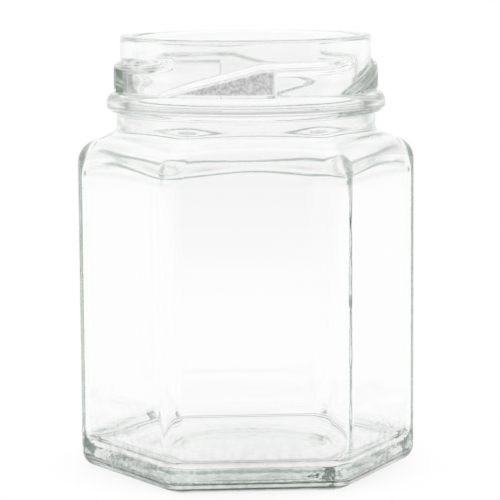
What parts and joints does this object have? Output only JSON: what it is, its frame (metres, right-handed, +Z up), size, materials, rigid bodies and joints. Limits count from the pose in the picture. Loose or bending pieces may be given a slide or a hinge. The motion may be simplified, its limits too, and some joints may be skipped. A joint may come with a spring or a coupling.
{
  "type": "hexagonal glass jar",
  "caption": "Clear hexagonal preserve jar with flat panels, shallow shoulder, transfer bead and round twist-off lug finish, open and empty.",
  "frame": {"origin": "middle of the base on the resting plane", "axes": "+Z up along the jar's axis; two of the six flat panels face -Y and +Y, two corners point along -X and +X"},
  "size_m": [0.0796, 0.0706, 0.1025],
  "materials": {
    "clear_glass": "clear flint glass, smooth and glossy, faintly grey-green through thick sections"
  },
  "bodies": {
    "root": {"jar_glass": "clear_glass"}
  },
  "joints": []
}
